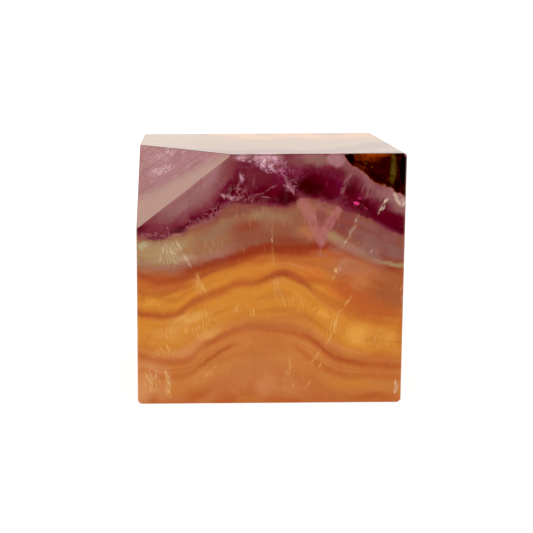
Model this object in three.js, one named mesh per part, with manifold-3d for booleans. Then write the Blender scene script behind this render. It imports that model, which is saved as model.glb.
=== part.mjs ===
// A display cube of banded fluorite. It is one piece of stone, sawn square, polished all over, and ground
// off at one upper corner to a triangular facet. Its edges are rubbed down unevenly and slightly nicked.
// Millimetres, +Z up. The origin is the middle of the face that it rests on. The front looks along -Y and
// +X is its right side, so the facet is at the front, on the upper left.
import * as THREE from "three";
import { ConvexGeometry } from "three/addons/geometries/ConvexGeometry.js";
import { mergeVertices } from "three/addons/utils/BufferGeometryUtils.js";
import Module from "manifold-3d";

// The block
const width = 50;
const depth = 50;
const heightAtLeft = 47.03;
const heightAtRight = 47.58;

// How far the facet runs from the corner that it takes away, along the three edges that met there
const facetBack = 22.44;
const facetRight = 17.71;
const facetDown = 13.71;

// Radius of each long edge at its two ends, which run left to right, front to back and bottom to top.
// The side gives, for x, y and z, on which side of the block the edge lies: 0 is the axis along the edge.
const longEdges = [
  { side: [0, -1, -1], radii: [0.28, 0.24] },
  { side: [0, -1, 1], radii: [0.2, 0.13] },
  { side: [0, 1, -1], radii: [0.45, 0.4] },
  { side: [0, 1, 1], radii: [0.35, 0.55] },
  { side: [-1, 0, -1], radii: [0.76, 0.6] },
  { side: [1, 0, -1], radii: [0.25, 0.5] },
  { side: [-1, 0, 1], radii: [0.2, 0.28] },
  { side: [1, 0, 1], radii: [0.7, 0.6] },
  { side: [-1, -1, 0], radii: [0.42, 0.3] },
  { side: [1, -1, 0], radii: [0.38, 0.42] },
  { side: [-1, 1, 0], radii: [0.5, 0.4] },
  { side: [1, 1, 0], radii: [0.45, 0.6] },
];
const edgeSteps = 5;

// The flat ground along the lower right edge, seen from the front
const lowerFlatAcross = 0.74;
const lowerFlatUp = 0.58;

// The flat along the front of the top, widest beside the facet and gone past the middle
const topFlatWide = 0.5;
const topFlatNarrow = 0.15;
const topFlatLength = 18;

// Width on each side of the narrow flats that take the sharpness off the facet's three edges
const facetEdgeFlat = 0.11;

const stoneColour = 0xc27a38;
const stoneRoughness = 0.12;

const wasm = await Module();
wasm.setup();

const halfWidth = width / 2;
const halfDepth = depth / 2;
const meanHeight = (heightAtLeft + heightAtRight) / 2;

function topAt(x) {
  return meanHeight + ((heightAtRight - heightAtLeft) * x) / width;
}

// A closed geometry as a manifold solid
function solidOf(geometry) {
  const bare = geometry.clone();
  bare.deleteAttribute("normal");
  bare.deleteAttribute("uv");
  const merged = mergeVertices(bare, 1e-5);
  return new wasm.Manifold(
    new wasm.Mesh({
      numProp: 3,
      vertProperties: merged.attributes.position.array,
      triVerts: new Uint32Array(merged.index.array),
    }),
  );
}

function geometryOf(solid) {
  const mesh = solid.getMesh();
  const geometry = new THREE.BufferGeometry();
  geometry.setAttribute("position", new THREE.BufferAttribute(mesh.vertProperties, 3));
  geometry.setIndex(new THREE.BufferAttribute(mesh.triVerts, 1));
  const flat = geometry.toNonIndexed();
  flat.computeVertexNormals();
  return flat;
}

// An edge's radius at one corner of the block, which is given by its sides like an edge
function radiusAt(edge, corner) {
  return edge.radii[corner[edge.side.indexOf(0)] < 0 ? 0 : 1];
}

// How far from its corner an edge's rounding stops, so that it leaves room for the other two edges there
function setbackAt(edge, corner) {
  const others = longEdges.filter(
    (other) => other !== edge && other.side.every((side, axis) => side === 0 || side === corner[axis]),
  );
  return Math.max(...others.map((other) => radiusAt(other, corner)));
}

// The quarter circle that rounds one end of a long edge. All of them together, wrapped in one skin,
// give a block with flat faces, edges that widen and narrow, and softened corners.
function edgeArc(edge, end) {
  const along = edge.side.indexOf(0);
  const across = [0, 1, 2].filter((axis) => axis !== along);
  const corner = edge.side.map((side) => side || end);
  const radius = radiusAt(edge, corner);
  const half = [halfWidth, halfDepth, meanHeight / 2];
  const points = [];
  for (let step = 0; step <= edgeSteps; step += 1) {
    const angle = (step / edgeSteps) * (Math.PI / 2);
    const reach = [Math.cos(angle), Math.sin(angle)];
    const place = [0, 0, meanHeight / 2];
    place[along] += end * (half[along] - setbackAt(edge, corner));
    across.forEach((axis, index) => {
      place[axis] += edge.side[axis] * (half[axis] - radius + radius * reach[index]);
    });
    points.push(new THREE.Vector3(...place));
  }
  return points;
}

// The block's top leans a little: its heights are scaled from the left side to the right.
function leanTop(point) {
  point.z *= topAt(point.x) / meanHeight;
  return point;
}

function sawnBlock() {
  const points = longEdges.flatMap((edge) => [...edgeArc(edge, -1), ...edgeArc(edge, 1)]);
  return solidOf(new ConvexGeometry(points.map(leanTop)));
}

const blockMiddle = new THREE.Vector3(0, 0, meanHeight / 2);

// Everything beyond the plane through three points, on the side away from the block's middle
function beyond(a, b, c) {
  const reach = 4 * width;
  const outward = new THREE.Plane().setFromCoplanarPoints(a, b, c);
  if (outward.distanceToPoint(blockMiddle) > 0) {
    outward.negate();
  }
  const box = new THREE.BoxGeometry(reach, reach, reach);
  box.translate(0, 0, reach / 2);
  box.applyQuaternion(new THREE.Quaternion().setFromUnitVectors(new THREE.Vector3(0, 0, 1), outward.normal));
  box.translate(a.x, a.y, a.z);
  return solidOf(box);
}

// The flat that takes the sharpness off the edge from start to end, between two faces whose outward
// normals are given. It reaches the given distances from the edge, at its start and at its end.
function flatAlong(start, end, firstNormal, secondNormal, atStart, atEnd) {
  const run = end.clone().sub(start).normalize();
  const [onFirst, onSecond] = [
    [firstNormal, secondNormal],
    [secondNormal, firstNormal],
  ].map(([own, other]) => {
    const inward = run.clone().cross(own).normalize();
    return inward.dot(other) > 0 ? inward.negate() : inward;
  });
  return beyond(
    start.clone().addScaledVector(onFirst, atStart),
    start.clone().addScaledVector(onSecond, atStart),
    end.clone().addScaledVector(onFirst, atEnd),
  );
}

const facetAtBack = new THREE.Vector3(-halfWidth, facetBack - halfDepth, heightAtLeft);
const facetAtRight = new THREE.Vector3(facetRight - halfWidth, -halfDepth, topAt(facetRight - halfWidth));
const facetAtFoot = new THREE.Vector3(-halfWidth, -halfDepth, heightAtLeft - facetDown);
const facetNormal = new THREE.Plane().setFromCoplanarPoints(facetAtBack, facetAtFoot, facetAtRight).normal;
const topNormal = new THREE.Vector3((heightAtLeft - heightAtRight) / width, 0, 1).normalize();
const frontNormal = new THREE.Vector3(0, -1, 0);
const leftNormal = new THREE.Vector3(-1, 0, 0);

function groundFlats() {
  const topFlatEnd = facetAtRight.clone();
  topFlatEnd.x += topFlatLength;
  topFlatEnd.z = topAt(topFlatEnd.x);
  const facetEdges = [
    [facetAtBack, facetAtRight, topNormal],
    [facetAtRight, facetAtFoot, frontNormal],
    [facetAtFoot, facetAtBack, leftNormal],
  ];
  return [
    beyond(facetAtBack, facetAtRight, facetAtFoot),
    beyond(
      new THREE.Vector3(halfWidth - lowerFlatAcross, -halfDepth, 0),
      new THREE.Vector3(halfWidth, -halfDepth, lowerFlatUp),
      new THREE.Vector3(halfWidth - lowerFlatAcross, halfDepth, 0),
    ),
    flatAlong(facetAtRight, topFlatEnd, topNormal, frontNormal, topFlatWide, topFlatNarrow),
    ...facetEdges.map(([start, end, normal]) =>
      flatAlong(start, end, facetNormal, normal, facetEdgeFlat, facetEdgeFlat),
    ),
  ];
}

// The stone splits along the eight planes of an octahedron, so each nick on an edge is the pit of a small
// octahedron. Its middle is on the edge, and its reach is given along x, y and z.
const backTop = topAt(0);
const nicks = [
  { at: facetAtBack.clone().lerp(facetAtFoot, 0.185), reach: [0.22, 0.5, 0.36] },
  { at: facetAtBack.clone().lerp(facetAtRight, 0.59), reach: [0.28, 0.3, 0.14] },
  { at: facetAtBack.clone().lerp(facetAtRight, 0.88), reach: [0.16, 0.2, 0.1] },
  { at: new THREE.Vector3(halfWidth, -halfDepth, 38.3), reach: [0.42, 0.5, 1.35] },
  { at: new THREE.Vector3(halfWidth, -halfDepth, 20.3), reach: [0.5, 0.42, 0.42] },
  { at: new THREE.Vector3(13.9, -halfDepth, topAt(13.9)), reach: [0.55, 0.3, 0.26] },
  { at: new THREE.Vector3(15, -halfDepth, topAt(15)), reach: [0.3, 0.34, 0.2] },
  { at: new THREE.Vector3(17.9, -halfDepth, topAt(17.9)), reach: [0.26, 0.26, 0.18] },
  { at: new THREE.Vector3(-halfWidth, -9.5, 0), reach: [0.62, 0.5, 0.55] },
  { at: new THREE.Vector3(halfWidth, 11.2, heightAtRight), reach: [0.55, 0.8, 0.5] },
  { at: new THREE.Vector3(-halfWidth, halfDepth, 29.4), reach: [0.42, 0.42, 0.9] },
  { at: new THREE.Vector3(-8.4, halfDepth, backTop), reach: [0.7, 0.48, 0.45] },
  { at: new THREE.Vector3(-5.9, halfDepth, backTop), reach: [0.34, 0.4, 0.34] },
  { at: new THREE.Vector3(halfWidth, halfDepth, 12.1), reach: [0.5, 0.5, 0.7] },
];

function nickPit({ at, reach }) {
  const pit = new THREE.OctahedronGeometry(1);
  pit.scale(...reach);
  pit.translate(at.x, at.y, at.z);
  return solidOf(pit);
}

function fluoriteCube() {
  const removed = [...groundFlats(), ...nicks.map(nickPit)];
  const stone = removed.reduce((solid, piece) => solid.subtract(piece), sawnBlock());
  const polished = new THREE.MeshStandardMaterial({
    color: stoneColour,
    roughness: stoneRoughness,
    metalness: 0,
  });
  const mesh = new THREE.Mesh(geometryOf(stone), polished);
  mesh.name = "fluorite_cube";
  return mesh;
}

const part = new THREE.Group();
part.add(fluoriteCube());

export default part;
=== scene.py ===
import math

import bmesh
import bpy
from mathutils import Matrix, Vector


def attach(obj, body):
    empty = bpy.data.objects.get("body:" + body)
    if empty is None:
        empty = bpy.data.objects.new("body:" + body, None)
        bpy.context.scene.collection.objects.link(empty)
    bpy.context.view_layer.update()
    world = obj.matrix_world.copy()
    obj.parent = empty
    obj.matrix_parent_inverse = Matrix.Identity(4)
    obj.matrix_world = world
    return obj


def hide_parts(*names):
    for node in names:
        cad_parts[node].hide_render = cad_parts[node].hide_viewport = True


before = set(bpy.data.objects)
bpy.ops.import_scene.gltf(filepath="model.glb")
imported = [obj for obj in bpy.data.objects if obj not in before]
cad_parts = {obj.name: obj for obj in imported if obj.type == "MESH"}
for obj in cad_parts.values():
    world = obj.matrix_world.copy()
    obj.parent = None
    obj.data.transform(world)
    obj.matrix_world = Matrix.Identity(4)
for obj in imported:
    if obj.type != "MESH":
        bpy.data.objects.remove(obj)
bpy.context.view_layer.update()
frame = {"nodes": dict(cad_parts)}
scene = bpy.context.scene
mm = 0.001
print("frame loaded:", ", ".join(frame["nodes"]))


# Small helpers

def linear(red, green, blue):
    # a colour picked on screen, 0 to 255, as the shader wants it
    channels = []
    for value in (red / 255, green / 255, blue / 255):
        channels.append(value / 12.92 if value <= 0.04045 else ((value + 0.055) / 1.055) ** 2.4)
    return (*channels, 1.0)


class Bench:
    # Puts nodes in one tree. A value given for a socket is either a plain value or another node's output.
    def __init__(self, tree):
        self.tree = tree

    def feed(self, socket, value):
        if isinstance(value, bpy.types.NodeSocket):
            self.tree.links.new(value, socket)
        else:
            socket.default_value = value

    def add(self, kind, inputs=None, **settings):
        node = self.tree.nodes.new(kind)
        for name, value in settings.items():
            setattr(node, name, value)
        for socket, value in (inputs or {}).items():
            self.feed(node.inputs[socket], value)
        return node

    def maths(self, operation, first, second=0.0, third=0.0):
        return self.add("ShaderNodeMath", {0: first, 1: second, 2: third}, operation=operation).outputs[0]

    def product(self, first, second):
        return self.maths("MULTIPLY", first, second)

    def vector(self, operation, first, second):
        return self.add("ShaderNodeVectorMath", {0: first, 1: second}, operation=operation).outputs["Vector"]

    def scaled(self, first, scale):
        node = self.add("ShaderNodeVectorMath", {0: first, "Scale": scale}, operation="SCALE")
        return node.outputs["Vector"]

    def combined(self, across, back, up):
        return self.add("ShaderNodeCombineXYZ", {0: across, 1: back, 2: up}).outputs[0]

    def stretched(self, parts, factors):
        return self.combined(*(self.product(part, factor) for part, factor in zip(parts, factors)))

    def distanceAlong(self, offset, axis):
        node = self.add("ShaderNodeVectorMath", {0: offset, 1: tuple(axis)}, operation="DOT_PRODUCT")
        return node.outputs["Value"]

    def between(self, value, low, high, start=0.0, end=1.0, smooth=True):
        # a smooth step stays within its ends by itself, a straight one has to be held
        kind = "SMOOTHSTEP" if smooth else "LINEAR"
        values = {"Value": value, "From Min": low, "From Max": high, "To Min": start, "To Max": end}
        node = self.add("ShaderNodeMapRange", values, interpolation_type=kind, clamp=not smooth)
        return node.outputs["Result"]

    def blend(self, share, first, second):
        # of a mix node's sockets, 6 and 7 are the two colours that go in, and 2 is the one that comes out
        return self.add("ShaderNodeMix", {0: share, 6: first, 7: second}, data_type="RGBA").outputs[2]

    def noise(self, place, scale, detail, roughness, output="Fac"):
        values = {"Vector": place, "Scale": scale, "Detail": detail, "Roughness": roughness}
        return self.add("ShaderNodeTexNoise", values).outputs[output]

    def evenNoise(self, place, scale, detail, roughness):
        # three channels that sway around zero
        return self.vector("SUBTRACT", self.noise(place, scale, detail, roughness, "Color"), (0.5, 0.5, 0.5))

    def curve(self, share, points, width, height):
        # a drawn curve over 0 to width, whose heights run from 0 to height
        node = self.add("ShaderNodeFloatCurve", {"Value": share})
        node.mapping.extend = "HORIZONTAL"
        line = node.mapping.curves[0]
        for index, (along, level) in enumerate(points):
            place = (along / width, level / height)
            if index < 2:
                line.points[index].location = place
            else:
                line.points.new(*place)
        node.mapping.update()
        if height == 1:
            return node.outputs[0]
        return self.product(node.outputs[0], height)

    def ramp(self, value, stops):
        node = self.add("ShaderNodeValToRGB", {"Fac": value})
        ramp = node.color_ramp
        for index, (position, colour) in enumerate(stops):
            stop = ramp.elements[index] if index < 2 else ramp.elements.new(position)
            stop.position = position
            stop.color = colour
        return node.outputs["Color"]


# Camera, at the photograph's viewing angle: its place in millimetres, its turns in degrees, and its focal
# length in pixels of the photograph

view = {
    "place": (-15.15, -266.9, 69.5),
    "yaw": 3.373,
    "pitch": 10.097,
    "roll": 0.5,
    "focalLength": 1321.5,
    "pictureWidth": 533,
    "sensorWidth": 36.0,
    "nearest": 0.01,
    "farthest": 20.0,
}


def makeCamera():
    data = bpy.data.cameras.new("camera")
    data.sensor_width = view["sensorWidth"]
    data.lens = view["sensorWidth"] * view["focalLength"] / view["pictureWidth"]
    data.clip_start = view["nearest"]
    data.clip_end = view["farthest"]
    camera = bpy.data.objects.new("camera", data)
    scene.collection.objects.link(camera)
    turn = Matrix.Rotation(-math.radians(view["yaw"]), 4, "Z")
    tilt = Matrix.Rotation(math.radians(90 - view["pitch"]), 4, "X")
    roll = Matrix.Rotation(math.radians(view["roll"]), 4, "Z")
    camera.matrix_world = Matrix.Translation(Vector(view["place"]) * mm) @ turn @ tilt @ roll
    scene.camera = camera


makeCamera()
print("camera placed")


# Studio: a pale floor that runs out of sight, a white tent and two soft lamps

studio = {
    "floorReach": 3.0,
    "floorSides": 96,
    "floorDrop": 0.02 * mm,  # the floor is a hair below the stone, so that the two don't flicker
    "floorColour": (0.34, 0.34, 0.34, 1.0),
    "floorRoughness": 0.9,
    "floorGloss": 0.1,
    "floorGlow": 0.74,
    "blackLevel": 0.0225,
    "tentBehind": (1.15, 1.1, 1.0, 1.0),
    "tentFront": (1.0, 1.0, 1.0, 1.0),
    "tentBlend": (-0.5, 0.5),
    "lampTarget": (0, 0, 0.024),
    "lamps": [
        {"place": (-0.55, -0.55, 0.75), "size": 0.6, "power": 2.0},
        {"place": (0.6, -0.35, 0.6), "size": 0.5, "power": 1.2},
    ],
}


def makeFloor():
    mesh = bpy.data.meshes.new("paleFloor")
    floor = bpy.data.objects.new("paleFloor", mesh)
    scene.collection.objects.link(floor)
    work = bmesh.new()
    bmesh.ops.create_circle(work, cap_ends=True, radius=studio["floorReach"], segments=studio["floorSides"])
    bmesh.ops.translate(work, verts=work.verts, vec=(0, 0, -studio["floorDrop"]))
    work.to_mesh(mesh)
    work.free()
    material = bpy.data.materials.new("palePaper")
    material.use_nodes = True
    shader = material.node_tree.nodes["Principled BSDF"]
    shader.inputs["Base Color"].default_value = studio["floorColour"]
    shader.inputs["Roughness"].default_value = studio["floorRoughness"]
    shader.inputs["Specular IOR Level"].default_value = studio["floorGloss"]
    shader.inputs["Emission Color"].default_value = (1.0, 1.0, 1.0, 1.0)
    shader.inputs["Emission Strength"].default_value = studio["floorGlow"]
    mesh.materials.append(material)


def makeTent():
    world = bpy.data.worlds.new("tent")
    world.use_nodes = True
    scene.world = world
    bench = Bench(world.node_tree)
    direction = bench.add("ShaderNodeTexCoord").outputs["Generated"]
    depth = bench.add("ShaderNodeSeparateXYZ", {0: direction}).outputs["Y"]
    share = bench.between(depth, *studio["tentBlend"])
    colour = bench.blend(share, studio["tentFront"], studio["tentBehind"])
    bench.feed(world.node_tree.nodes["Background"].inputs["Color"], colour)


def makeLamps():
    target = Vector(studio["lampTarget"])
    for index, lamp in enumerate(studio["lamps"]):
        data = bpy.data.lights.new(f"softbox{index + 1}", "AREA")
        data.shape = "SQUARE"
        data.size = lamp["size"]
        data.energy = lamp["power"]
        light = bpy.data.objects.new(data.name, data)
        light.location = lamp["place"]
        light.rotation_euler = (target - light.location).to_track_quat("-Z", "Y").to_euler()
        scene.collection.objects.link(light)


makeFloor()
makeTent()
makeLamps()
scene.view_settings.view_transform = "Standard"
scene.view_settings.use_curve_mapping = True
scene.view_settings.curve_mapping.black_level = [studio["blackLevel"]] * 3
scene.view_settings.curve_mapping.update()
print("studio set")


# The stone. Its pattern is laid out in millimetres from the lower left front corner of the block:
# across to the right, back away from the front, and up.

block = {
    "size": 50.0,
    "facetFoot": (0.0, 0.0, 33.32),
    "facetRight": (17.71, 0.0, 47.22),
    "facetBack": (0.0, 22.44, 47.03),
}

# The skin, and how its faces are told apart by the way they look: 1 is straight along an axis
skin = {
    "weld": 1e-7,
    "flatAngle": 0.3,
    "sharpAngle": 35,
    "ior": 1.434,
    "roughness": 0.1,
    "edgeRoughness": 0.3,
    "transmission": 0.2,
    "gloss": 0.2,
    "onFacet": 0.9995,
    "besideFacet": 0.99,
    "nearFacet": 0.75,
    "besideTop": 0.7,
    "leaning": 0.4,
    "straight": 0.15,
    "fullyRubbed": 0.2,
    "nearFacetRubbed": 0.2,
    "rubbedTint": 0.15,
    # how strongly painted shade darkens the top's front flat and the facet's flats towards purple
    "topBevelTint": 0.5,
    "facetArrisTint": 0.9,
}

# Colours as they look on screen
palette = {
    "umber": (158, 90, 56), "clay": (188, 106, 57), "amber": (198, 122, 62), "peach": (210, 142, 90),
    "honey": (203, 128, 50), "gold": (207, 133, 51), "glow": (225, 157, 68), "straw": (232, 182, 108),
    "orange": (205, 113, 49), "rust": (182, 92, 45), "russet": (160, 74, 42), "brick": (142, 52, 32),
    "fawn": (142, 82, 62), "tan": (154, 104, 74), "sage": (168, 142, 102), "mint": (176, 168, 128),
    "blush": (162, 112, 98), "sienna": (178, 111, 76), "mauveBrown": (128, 66, 64), "crust": (134, 68, 68),
    "dusty": (168, 104, 106), "taupe": (146, 108, 86), "ash": (138, 94, 88), "cream": (230, 198, 148),
    "orchid": (150, 60, 104), "coral": (196, 132, 140), "wine": (46, 0, 4), "blood": (88, 8, 28),
    "purple": (100, 18, 44), "plum": (122, 48, 60), "heather": (130, 74, 78), "mauve": (158, 108, 112),
    "rose": (196, 154, 156), "facetMauve": (148, 95, 101), "facetPink": (169, 116, 122),
    "facetPale": (212, 178, 184), "beige": (180, 146, 135), "pink": (175, 105, 106), "bone": (228, 206, 182),
    "lilac": (222, 170, 196), "magenta": (214, 56, 124), "violet": (116, 10, 66), "ember": (142, 52, 3),
    "pitch": (10, 1, 1), "maroon": (42, 4, 0), "olive": (86, 70, 26),
}
palette = {name: linear(*tone) for name, tone in palette.items()}

# Height of each growth line on the front face, from left to right
growthLines = {
    "lowest": [(0, 6.5), (2, 6.4), (4, 5.5), (8, 5.4), (10, 5.9), (12, 7.5), (14, 9), (17, 10.9), (21, 12),
               (26, 12.4), (29, 11.6), (31, 9.8), (33, 8.3), (36, 6.4), (39, 5.3), (45, 5.2), (50, 4.8)],
    "lower": [(0, 9.5), (2, 8.8), (5, 8.2), (8, 8.2), (10, 8.9), (12, 10.9), (14, 12), (17, 13.4), (20, 14.3),
              (23, 14.4), (26, 13.9), (29.5, 13.6), (32, 12.9), (34, 11.4), (36, 9.6), (38, 8.6), (41, 7.9),
              (45, 7.4), (50, 7)],
    "middle": [(0, 17.5), (3, 17.1), (6, 17), (8, 17.6), (10, 19.3), (12, 20.4), (14, 21.2), (16, 21.9),
               (18, 22.9), (20, 23.3), (22, 23.3), (24, 24.0), (26, 24.8), (28, 24.9), (30, 24), (32, 22.6),
               (34, 20.6), (36, 19.3), (38, 18), (40, 16.9), (43, 16.2), (46, 15.5), (50, 14.9)],
    "upper": [(0, 25.2), (4, 25.3), (8, 25.5), (10, 25.8), (12, 26.2), (14, 27), (16, 27.6), (18, 28),
              (20, 28.8), (22, 29.5), (24, 30), (26, 29.8), (30, 29.7), (32, 29.9), (34, 30.3), (36, 30.1),
              (38, 29.4), (40, 28.7), (42, 27.8), (44, 26.9), (47, 25.9), (50, 25.3)],
    "purple": [(0, 32.1), (2, 31.5), (4, 31.2), (6, 31.8), (7, 32.5), (9, 32.8), (10, 33.9), (12, 34.3),
               (14, 35.2), (15, 35.9), (16, 37), (17, 37.7), (22, 37.8), (26, 37.5), (28, 37.4), (29, 37.9),
               (30, 39), (32, 39.1), (34, 38.6), (36, 38), (38, 37.2), (38.6, 36.7), (40, 36.3), (42, 35.7),
               (44, 34.8), (46, 33.5), (48, 32.6), (50, 32.1)],
}

# From left to right, the height of the purple zone and the strength of the pale crust along its foot, and
# from front to back, how far the bands have risen
purpleThickness = [(0, 2.4), (4, 2.9), (8, 1.8), (11, 2.4), (14, 3.1), (16, 4.8), (18, 7), (20, 10), (28, 10),
                   (33, 8), (37, 6.5), (39, 5.2), (42, 3.8), (46, 3), (50, 2.4)]
crustStrength = [(0, 0.4), (6, 0.3), (9, 0.4), (11, 0.7), (15, 0.7), (19, 0.3), (24, 0.1), (50, 0.1)]
bandRise = [(0, 0), (4, 4.5), (10, 10), (20, 15.5), (35, 19), (50, 21)]

# How the colour runs from the foot of the block up to the purple line. The whole part of a position counts
# the growth lines below it.
bandStops = [
    (0.0, "amber"), (0.1, "rust"), (0.16, "honey"), (0.3, "gold"), (0.38, "russet"), (0.44, "clay"),
    (0.58, "honey"), (0.68, "rust"), (0.76, "clay"), (0.82, "clay"), (0.9, "amber"), (1.0, "amber"),
    (1.7, "amber"), (2.0, "clay"), (2.15, "amber"), (2.35, "honey"), (2.6, "gold"), (3.0, "gold"),
    (3.25, "gold"), (3.5, "honey"), (3.85, "rust"), (4.0, "brick"), (4.12, "fawn"), (4.45, "fawn"),
    (4.8, "tan"), (4.98, "fawn"),
]
purpleStops = [(0.0, "plum"), (0.2, "purple"), (0.45, "blood"), (0.7, "purple"), (1.0, "plum"),
               (1.5, "heather"), (2.6, "mauve")]

# Thin layers that stand out along or between the growth lines: the line, how strong it is from left to
# right, its reach below and above, and its colour
seams = [
    ("lowest", [(0, 0.4), (8, 0.6), (17, 0.5), (20, 0), (28, 0), (31, 0.6), (37, 0.55), (50, 0.6)],
     1.2, 1.3, "rust"),
    ("lowest", [(0, 0), (9, 0), (12, 0.4), (15, 0.6), (18, 0.2), (21, 0)], 0.8, 0.6, "russet"),
    ("lower", [(0, 0.5), (8, 0.45), (11, 0.35), (14, 0.5), (17, 0.3), (21, 0.2), (27, 0.3), (31, 0.7),
               (36, 0.95), (41, 0.9), (50, 0.8)], 1.6, 1.1, "rust"),
    ("lower", [(0, 0), (12, 0), (14, 0.3), (17, 0.2), (20, 0), (30, 0), (34, 0.5), (38, 0.5), (43, 0)],
     0.8, 0.7, "russet"),
    ("middle", [(0, 0.9), (14, 0.85), (22, 0.8), (29, 0.95), (31, 0.8), (33, 0.5), (42, 0.5), (50, 0.3)],
     1.6, 1.6, "rust"),
    ("middle", [(0, 0.6), (3, 0.4), (9, 0.3), (20, 0.2), (27, 0.5), (30, 0.6), (33, 0), (50, 0)],
     0.9, 0.9, "russet"),
    ("middle", [(0, 0), (20, 0), (24, 0.3), (28, 0.5), (31, 0.5), (34, 0), (50, 0)], 0.9, 1.0, "brick"),
    ("upper", [(0, 0), (7, 0.1), (9, 0.4), (11, 0.7), (14, 0.7), (17, 0.85), (20, 1), (32, 1), (34.5, 0.5),
               (37, 0.1), (50, 0)], 2.4, 1.2, "brick"),
    ("upper", [(0, 0), (34, 0), (38, 0.3), (44, 0.45), (50, 0.7)], 1.2, 0.5, "russet"),
    ("purple", [(0, 0.2), (12, 0.3), (16, 0.6), (21, 0.5), (29, 0.5), (33, 0.6), (40, 0.4), (50, 0.5)],
     2.2, 0.6, "mauveBrown"),
    ([(0, 25), (2, 24.2), (4, 23.4), (6, 23.7), (9, 24.4), (11, 25.4), (50, 25.4)],
     [(0, 0.2), (2, 0.4), (8, 0.5), (10, 0.4), (12, 0)], 1.5, 1.2, "brick"),
    ([(0, 21.8), (3, 21), (6, 21.3), (9, 22.8), (50, 22.8)],
     [(0, 0.5), (6, 0.4), (9, 0)], 0.9, 0.9, "russet"),
    ([(0, 24), (11, 24.4), (13, 25), (15, 26.1), (17, 26.8), (20, 27.5), (50, 27.5)],
     [(10, 0), (12, 0.7), (16, 0.6), (19, 0)], 0.8, 0.7, "russet"),
    ([(0, 29), (33, 29.1), (37, 28.8), (39, 28.3), (41, 27.4), (43, 26.4), (45, 25.4), (47, 24.8),
      (50, 24.1)], [(32, 0), (35, 0.6), (41, 0.25), (45, 0.3), (50, 0.5)], 0.8, 0.7, "rust"),
    ([(0, 30), (38, 31), (41, 29.5), (43, 28.6), (44, 27.8), (46, 27), (50, 26.4)],
     [(36, 0), (43, 0.1), (45, 0.4), (47, 0.7), (50, 0.8)], 0.6, 0.7, "sage"),
    ([(0, 16), (24, 16), (28, 16.7), (31, 16.6), (33, 16), (50, 12)],
     [(23, 0), (27, 0.4), (31, 0.4), (34, 0)], 1.1, 1.1, "clay"),
    ([(0, 24), (28, 25), (30, 24.2), (32, 23.7), (34, 23.6), (36, 23.2), (39, 21.6), (50, 21)],
     [(28, 0), (30, 0.8), (35, 0.7), (39, 0)], 1.4, 1.2, "rust"),
]
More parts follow.
